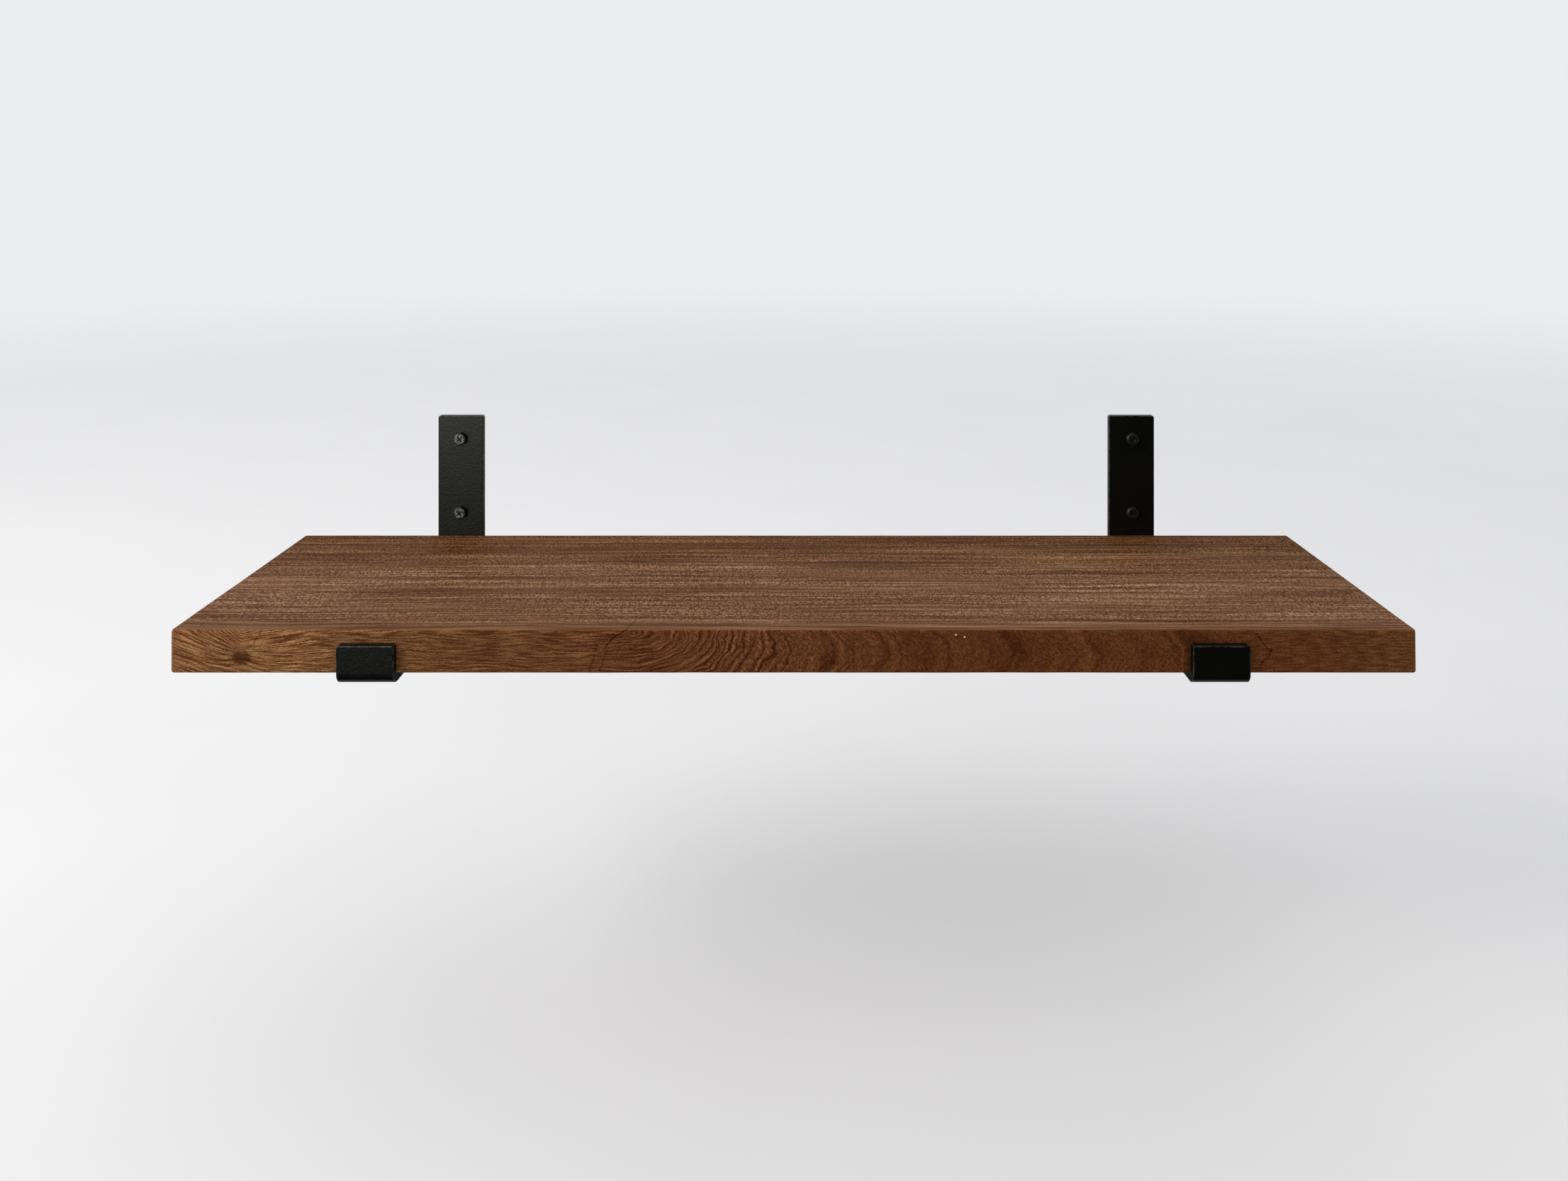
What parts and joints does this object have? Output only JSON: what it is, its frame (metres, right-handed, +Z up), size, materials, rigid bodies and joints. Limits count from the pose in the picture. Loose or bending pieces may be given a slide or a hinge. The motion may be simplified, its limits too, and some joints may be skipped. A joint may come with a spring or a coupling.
{
  "type": "wall shelf with brackets",
  "caption": "Solid hardwood shelf board carried on bent black flat-bar brackets with a front lip, a wall plate and hexagon-head wall screws.",
  "frame": {"origin": "centre of the four wall fixings, on the wall's surface, midway between the two wall plates", "axes": "+X to the right as seen from the room, +Y into the wall, +Z up"},
  "size_m": [0.867, 0.291, 0.142],
  "materials": {
    "hardwood": "oiled reddish-brown ribbon-grained hardwood, satin",
    "bracket_powder_coat": "fine-textured satin black powder coat on mild steel",
    "wall_screw_paint": "satin black paint, scuffed to grey on the head",
    "plug_nylon": "moulded grey nylon",
    "shelf_screw_phosphate": "matt black phosphate on steel"
  },
  "bodies": {
    "root": {"shelf_board": "hardwood", "left_bracket": "bracket_powder_coat", "left_upper_wall_screw": "wall_screw_paint", "left_upper_wall_plug": "plug_nylon", "left_lower_wall_screw": "wall_screw_paint", "left_lower_wall_plug": "plug_nylon", "left_front_shelf_screw": "shelf_screw_phosphate", "left_rear_shelf_screw": "shelf_screw_phosphate", "right_bracket": "bracket_powder_coat", "right_upper_wall_screw": "wall_screw_paint", "right_upper_wall_plug": "plug_nylon", "right_lower_wall_screw": "wall_screw_paint", "right_lower_wall_plug": "plug_nylon", "right_front_shelf_screw": "shelf_screw_phosphate", "right_rear_shelf_screw": "shelf_screw_phosphate"}
  },
  "joints": []
}
